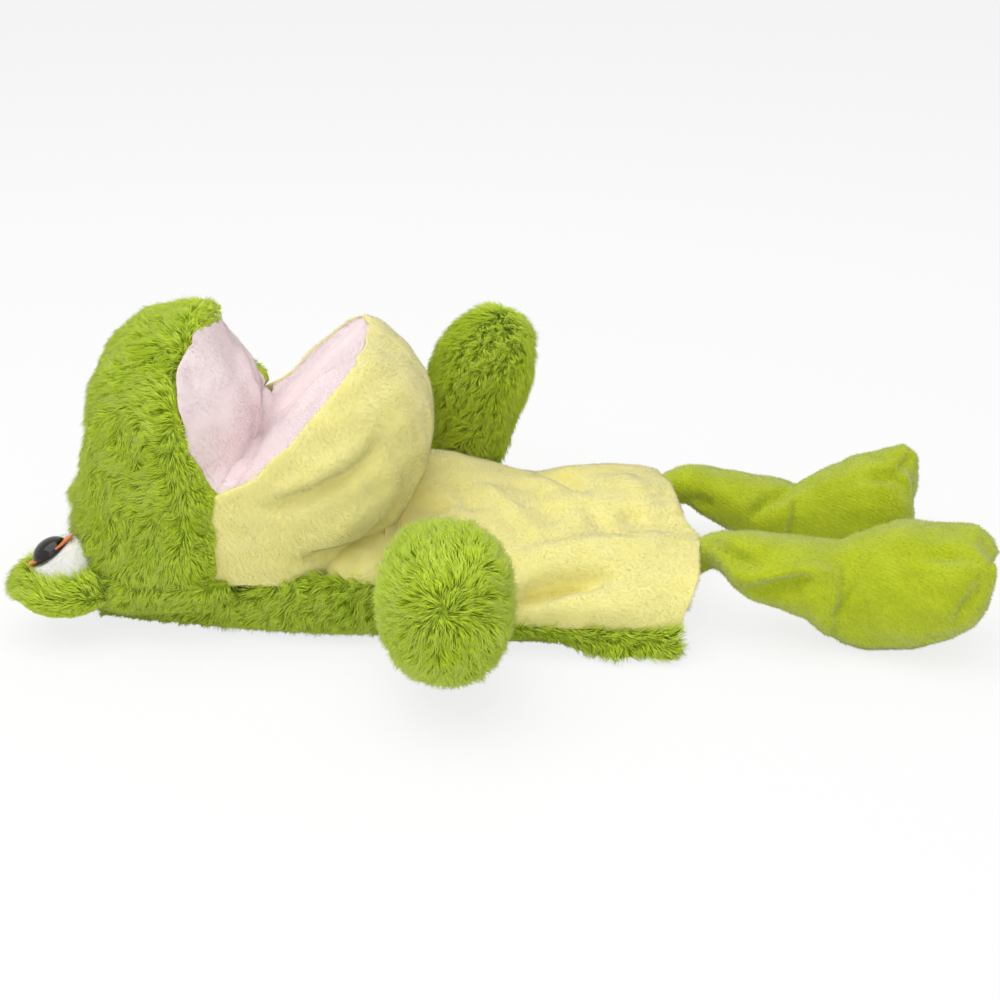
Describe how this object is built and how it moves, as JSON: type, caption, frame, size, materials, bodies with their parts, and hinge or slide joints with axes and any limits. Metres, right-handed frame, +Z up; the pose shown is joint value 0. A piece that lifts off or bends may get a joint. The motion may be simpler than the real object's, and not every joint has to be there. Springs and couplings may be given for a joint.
{
  "type": "talking frog hand puppet",
  "caption": "Plush frog hand puppet lying on its back: furry head with a hand-worked mouth, soft belly sleeve, floppy arms and legs, and domed plastic eyes.",
  "frame": {"origin": "on the flat underside of the back panel, under the middle of the sleeve", "axes": "+X towards the feet, +Y the frog's left, +Z up, away from the table that it lies on"},
  "size_m": [0.3931, 0.2313, 0.119],
  "materials": {
    "fur": "long-pile plush fur",
    "green_plush": "short-pile plush",
    "yellow_plush": "short-pile plush",
    "pink_plush": "short-pile plush",
    "white_plush": "short-pile plush",
    "lining": "plain woven lining",
    "filling": "loose fibre filling",
    "black_plastic": "polished",
    "orange_plastic": "polished",
    "nylon": "natural moulded"
  },
  "bodies": {
    "torso": {"back_panel": "fur", "belly_panel": "yellow_plush", "hand_sleeve": "lining"},
    "head": {"head_cover": "fur", "nape_panel": "fur", "head_fill": "filling", "finger_pocket": "lining", "upper_palate": "pink_plush", "eye_white_right": "white_plush", "eyelid_right": "fur", "eye_iris_right": "orange_plastic", "eye_dome_right": "black_plastic", "eye_washer_right": "nylon", "eye_white_left": "white_plush", "eyelid_left": "fur", "eye_iris_left": "orange_plastic", "eye_dome_left": "black_plastic", "eye_washer_left": "nylon"},
    "jaw": {"chin_cover": "yellow_plush", "chin_fill": "filling", "thumb_pocket": "lining", "lower_palate": "pink_plush"},
    "arm_right": {"arm_cover_right": "fur", "arm_fill_right": "filling"},
    "leg_right": {"leg_cover_right": "green_plush", "leg_fill_right": "filling"},
    "foot_right": {"foot_cover_right": "green_plush", "foot_fill_right": "filling"},
    "arm_left": {"arm_cover_left": "fur", "arm_fill_left": "filling"},
    "leg_left": {"leg_cover_left": "green_plush", "leg_fill_left": "filling"},
    "foot_left": {"foot_cover_left": "green_plush", "foot_fill_left": "filling"}
  },
  "joints": [
    {"name": "neck", "type": "hinge", "parent": "torso", "child": "head", "pos_m": [-0.0472, 0, 0.031], "axis": [0, 1, 0], "range_deg": [0, 16]},
    {"name": "mouth", "type": "hinge", "parent": "head", "child": "jaw", "pos_m": [-0.104, 0, 0.067], "axis": [0, -1, 0], "range_deg": [0, 34]},
    {"name": "shoulder_right", "type": "hinge", "parent": "torso", "child": "arm_right", "pos_m": [-0.02131, -0.06466, 0.0294], "axis": [-0.9883, 0.1328, -0.0747], "range_deg": [-12, 55]},
    {"name": "shoulder_left", "type": "hinge", "parent": "torso", "child": "arm_left", "pos_m": [-0.02131, 0.06466, 0.0294], "axis": [0.9883, 0.1328, 0.0747], "range_deg": [-70, 8]},
    {"name": "hip_right", "type": "hinge", "parent": "torso", "child": "leg_right", "pos_m": [0.0884, -0.044, 0.02963], "axis": [0, -1, 0], "range_deg": [-20, 80]},
    {"name": "ankle_right", "type": "hinge", "parent": "leg_right", "child": "foot_right", "pos_m": [0.14572, -0.05206, 0.026], "axis": [-0.1392, -0.9903, 0], "range_deg": [-25, 25]},
    {"name": "hip_left", "type": "hinge", "parent": "torso", "child": "leg_left", "pos_m": [0.0884, 0.044, 0.02963], "axis": [0, -1, 0], "range_deg": [-20, 80]},
    {"name": "ankle_left", "type": "hinge", "parent": "leg_left", "child": "foot_left", "pos_m": [0.14076, 0.03664, 0.026], "axis": [-0.1392, -0.9903, 0], "range_deg": [-25, 25]}
  ]
}
